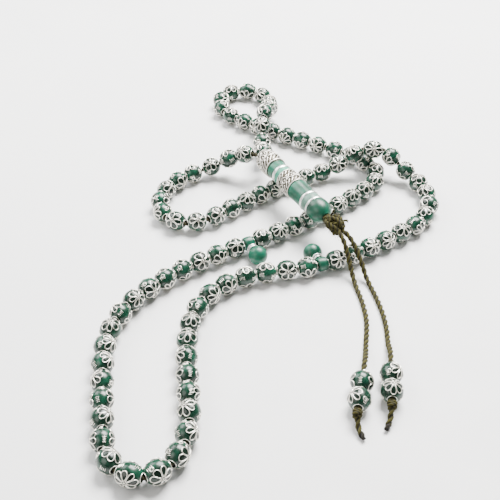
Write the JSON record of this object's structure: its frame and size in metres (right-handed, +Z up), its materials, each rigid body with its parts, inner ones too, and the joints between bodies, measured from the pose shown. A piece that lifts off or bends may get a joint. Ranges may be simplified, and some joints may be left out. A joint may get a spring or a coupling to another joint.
{
  "type": "prayer beads",
  "caption": "String of round patterned green prayer beads in sections, with plain dividers, a long ringed leader and a tassel of beaded cords, lying in loops.",
  "frame": {"origin": "bottom centre of the bounding box, on the surface that the beads lie on", "axes": "+Z up, +Y along the longest extent, from the large loop towards the small top loop, +X to the right seen from the front"},
  "size_m": [0.1292, 0.2394, 0.018],
  "materials": {
    "bead": "glossy dark green with raised silver pattern",
    "silver": "bright worked silver",
    "jade": "polished jade green",
    "pale_jade": "polished pale green",
    "grey_jade": "polished grey green",
    "cord": "twisted olive cord"
  },
  "bodies": {
    "middle_strands": {"main_cord": "cord", "beads_a02_03": "bead", "beads_a11_14": "bead", "beads_a15_18": "bead", "beads_a19_22": "bead", "beads_a30_32": "bead", "beads_b02_04": "bead", "beads_b05_07": "bead", "beads_b26_29": "bead", "beads_b30_32": "bead", "beads_c02_05": "bead", "beads_c06_09": "bead", "beads_c10_13": "bead", "beads_c32_33": "bead"},
    "left_loop": {"beads_a04_06": "bead", "beads_a07_10": "bead"},
    "right_loop": {"beads_a23_26": "bead", "beads_a27_29": "bead"},
    "lower_loop_near": {"beads_b08_10": "bead", "beads_b23_25": "bead"},
    "lower_loop_middle": {"beads_b11_13": "bead", "beads_b20_22": "bead"},
    "lower_loop_far": {"beads_b14_16": "bead", "beads_b18_19": "bead"},
    "top_loop_near": {"beads_c14_17": "bead", "beads_c18_20": "bead", "beads_c27_29": "bead", "beads_c30_31": "bead"},
    "top_loop_far": {"beads_c21_22": "bead", "beads_c24_26": "bead"},
    "imame": {"imame_cap": "silver", "imame_upper_band": "jade", "imame_wide_ring": "silver", "imame_pale_band": "pale_jade", "imame_sleeve": "silver", "imame_barrel": "jade", "imame_upper_ring": "silver", "imame_lower_band": "grey_jade", "imame_lower_ring": "silver", "imame_dome": "jade", "gathering_knot": "cord"},
    "tassel_1": {"tassel_cord_1": "cord", "end_knot_1": "cord"},
    "tassel_2": {"tassel_cord_2": "cord", "end_knot_2": "cord"},
    "tassel_1_upper": {"tassel_1_upper_bead": "bead"},
    "tassel_1_lower": {"tassel_1_lower_bead": "bead"},
    "tassel_2_upper": {"tassel_2_upper_bead": "bead"},
    "tassel_2_lower": {"tassel_2_lower_bead": "bead"},
    "divider_1": {"divider_1_barrel": "jade", "divider_1_ball": "jade"},
    "divider_2": {"divider_2_barrel": "jade", "divider_2_ball": "jade"},
    "first_bead_a": {"bead_a01": "bead"},
    "last_bead_a": {"bead_a33": "bead"},
    "first_bead_b": {"bead_b01": "bead"},
    "turn_bead_b": {"bead_b17": "bead"},
    "last_bead_b": {"bead_b33": "bead"},
    "first_bead_c": {"bead_c01": "bead"},
    "turn_bead_c": {"bead_c23": "bead"}
  },
  "joints": [
    {"name": "left_loop_fold", "type": "hinge", "parent": "middle_strands", "child": "left_loop", "pos_m": [-0.03094, 0.02691, 0.004], "axis": [-0.1091, 0.994, 0], "range_deg": [-25, 25], "deforming": ["main_cord"]},
    {"name": "right_loop_fold", "type": "hinge", "parent": "middle_strands", "child": "right_loop", "pos_m": [0.0469, 0.02134, 0.0057], "axis": [-0.1638, -0.9839, -0.0716], "range_deg": [-25, 25], "deforming": ["main_cord"]},
    {"name": "lower_loop_fold_1", "type": "hinge", "parent": "middle_strands", "child": "lower_loop_near", "pos_m": [-0.04538, -0.04884, 0.004], "axis": [-0.9942, -0.1073, 0], "range_deg": [-25, 25], "deforming": ["main_cord"]},
    {"name": "lower_loop_fold_2", "type": "hinge", "parent": "lower_loop_near", "child": "lower_loop_middle", "pos_m": [-0.0463, -0.07326, 0.004], "axis": [-0.9945, -0.1049, 0], "range_deg": [-25, 25], "deforming": ["main_cord"]},
    {"name": "lower_loop_fold_3", "type": "hinge", "parent": "lower_loop_middle", "child": "lower_loop_far", "pos_m": [-0.04375, -0.09714, 0.004], "axis": [-0.9946, -0.1038, 0], "range_deg": [-25, 25], "deforming": ["main_cord"]},
    {"name": "top_loop_fold_1", "type": "hinge", "parent": "middle_strands", "child": "top_loop_near", "pos_m": [0.00723, 0.06145, 0.00449], "axis": [0.9893, 0.1418, -0.0341], "range_deg": [-25, 14], "deforming": ["main_cord"]},
    {"name": "top_loop_fold_2", "type": "hinge", "parent": "top_loop_near", "child": "top_loop_far", "pos_m": [-0.01316, 0.09651, 0.0042], "axis": [0.9795, 0.2007, 0.0185], "range_deg": [-25, 25], "deforming": ["main_cord"]},
    {"name": "imame_lift", "type": "hinge", "parent": "middle_strands", "child": "imame", "pos_m": [-0.00697, 0.04171, 0.0132], "axis": [-0.8789, -0.477, 0], "range_deg": [0, 45], "deforming": ["main_cord"]},
    {"name": "tassel_1_lift", "type": "hinge", "parent": "imame", "child": "tassel_1", "pos_m": [0.02136, -0.0105, 0.0132], "axis": [-0.8789, -0.477, 0], "range_deg": [0, 40]},
    {"name": "tassel_2_lift", "type": "hinge", "parent": "imame", "child": "tassel_2", "pos_m": [0.02136, -0.0105, 0.0132], "axis": [-0.8789, -0.477, 0], "range_deg": [0, 40]},
    {"name": "tassel_1_upper_bead_slide", "type": "slide", "parent": "tassel_1", "child": "tassel_1_upper", "axis": [0.2, 0.9798, 0], "range_m": [0, 0.004]},
    {"name": "tassel_1_lower_bead_spin", "type": "hinge", "parent": "tassel_1", "child": "tassel_1_lower", "pos_m": [0.02203, -0.08633, 0.004], "axis": [-0.2, -0.9798, 0], "continuous": true},
    {"name": "tassel_2_upper_bead_slide", "type": "slide", "parent": "tassel_2", "child": "tassel_2_upper", "axis": [0.1, 0.995, 0], "range_m": [0, 0.004]},
    {"name": "tassel_2_lower_bead_spin", "type": "hinge", "parent": "tassel_2", "child": "tassel_2_lower", "pos_m": [0.03263, -0.08278, 0.004], "axis": [-0.1, -0.995, 0], "continuous": true},
    {"name": "divider_1_spin", "type": "hinge", "parent": "middle_strands", "child": "divider_1", "pos_m": [-0.01288, -0.00634, 0.004], "axis": [0.8793, 0.4763, 0], "continuous": true},
    {"name": "divider_2_spin", "type": "hinge", "parent": "middle_strands", "child": "divider_2", "pos_m": [0.01452, -0.01892, 0.004], "axis": [-0.9216, -0.3881, 0], "continuous": true},
    {"name": "bead_a01_spin", "type": "hinge", "parent": "middle_strands", "child": "first_bead_a", "pos_m": [-0.01431, 0.04527, 0.01176], "axis": [-0.8534, 0.4201, -0.3085], "continuous": true},
    {"name": "bead_a33_spin", "type": "hinge", "parent": "middle_strands", "child": "last_bead_a", "pos_m": [0.01986, -0.0165, 0.004], "axis": [-0.9048, -0.4258, 0], "continuous": true},
    {"name": "bead_b01_spin", "type": "hinge", "parent": "middle_strands", "child": "first_bead_b", "pos_m": [0.0089, -0.02078, 0.004], "axis": [-0.9617, -0.2741, 0], "continuous": true},
    {"name": "bead_b17_spin", "type": "hinge", "parent": "lower_loop_far", "child": "turn_bead_b", "pos_m": [-0.04686, -0.11538, 0.004], "axis": [-0.9559, 0.2937, 0], "continuous": true},
    {"name": "bead_b33_spin", "type": "hinge", "parent": "middle_strands", "child": "last_bead_b", "pos_m": [-0.01797, -0.00927, 0.004], "axis": [0.8609, 0.5087, 0], "continuous": true},
    {"name": "bead_c01_spin", "type": "hinge", "parent": "middle_strands", "child": "first_bead_c", "pos_m": [-0.00783, -0.00336, 0.004], "axis": [0.8503, 0.5263, 0], "continuous": true},
    {"name": "bead_c23_spin", "type": "hinge", "parent": "top_loop_far", "child": "turn_bead_c", "pos_m": [-0.02135, 0.11381, 0.004], "axis": [0.8082, 0.5889, 0], "continuous": true}
  ]
}
